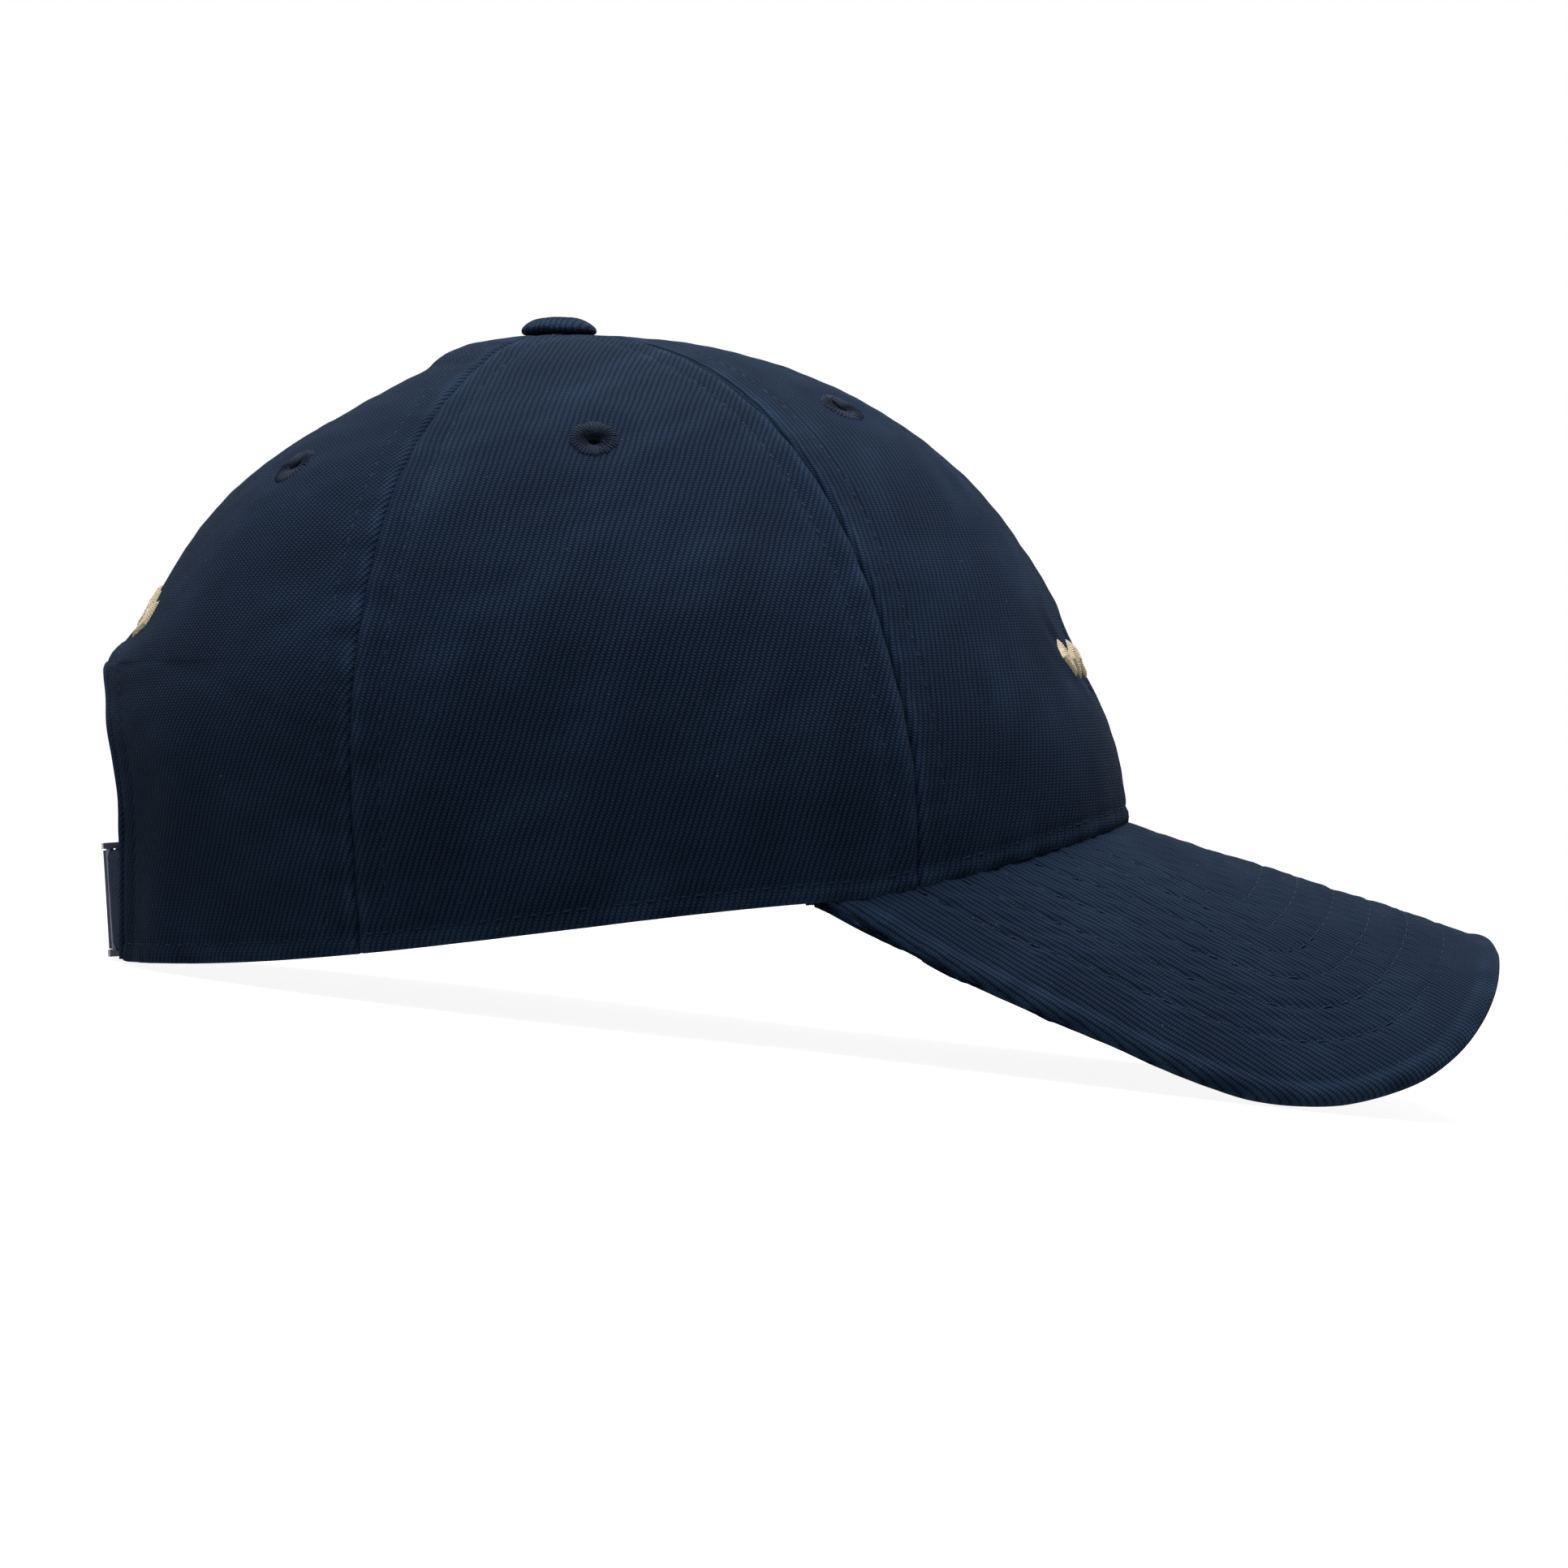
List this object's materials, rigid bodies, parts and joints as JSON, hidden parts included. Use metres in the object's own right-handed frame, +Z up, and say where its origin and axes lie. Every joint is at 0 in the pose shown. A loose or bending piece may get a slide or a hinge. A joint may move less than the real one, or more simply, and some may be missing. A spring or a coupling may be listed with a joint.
{
  "type": "baseball cap",
  "caption": "Soft cap with a domed crown of stitched cloth panels, covered top button, curved visor and a rear arch closed by a sliding strap and hinged buckle.",
  "frame": {"origin": "middle of the overall bounding box, on the table the cap stands on", "axes": "+X forward along the visor, +Y to the wearer's left, +Z up, with the cap standing on the back of its base and on the two side edges of its visor"},
  "size_m": [0.2816, 0.162, 0.139],
  "materials": {
    "twill": "matte",
    "visor_twill": "matte",
    "seam_tape": "matte",
    "binding": "matte",
    "sweatband": "matte",
    "strap_cloth": "matte",
    "eyelet_thread": "satin",
    "motif_thread": "satin",
    "buckram": "matte",
    "visor_board": "matte",
    "button_metal": "satin",
    "buckle_metal": "satin"
  },
  "bodies": {
    "cap": {"panel_front_right": "twill", "panel_front_left": "twill", "panel_side_right": "twill", "panel_side_left": "twill", "panel_back_right": "twill", "panel_back_left": "twill", "tape_front_right": "seam_tape", "tape_front_left": "seam_tape", "tape_back_right": "seam_tape", "tape_back_left": "seam_tape", "tape_front_centre": "seam_tape", "tape_back_centre": "seam_tape", "eyelet_front_right": "eyelet_thread", "eyelet_front_left": "eyelet_thread", "eyelet_side_right": "eyelet_thread", "eyelet_side_left": "eyelet_thread", "eyelet_back_right": "eyelet_thread", "eyelet_back_left": "eyelet_thread", "buckram_front_right": "buckram", "buckram_front_left": "buckram", "sweatband": "sweatband", "visor_board": "visor_board", "visor_top_cover": "visor_twill", "visor_under_cover": "visor_twill", "button_fabric_cover": "twill", "button_shell": "button_metal", "button_rivet": "button_metal", "arch_binding": "binding", "strap_short": "strap_cloth", "buckle_frame": "buckle_metal", "buckle_pin": "buckle_metal", "embroidery_front": "motif_thread", "embroidery_back": "motif_thread"},
    "strap": {"strap_long": "strap_cloth"},
    "clasp": {"buckle_clasp": "buckle_metal"}
  },
  "joints": [
    {"name": "strap_slide", "type": "hinge", "parent": "cap", "child": "strap", "pos_m": [-0.06514, 0, 0.02478], "axis": [-0.1754, 0, 0.9845], "range_deg": [-8, 8]},
    {"name": "clasp_hinge", "type": "hinge", "parent": "cap", "child": "clasp", "pos_m": [-0.13677, 0.00893, 0.01202], "axis": [0.1754, 0, -0.9845], "range_deg": [0, 110]}
  ]
}
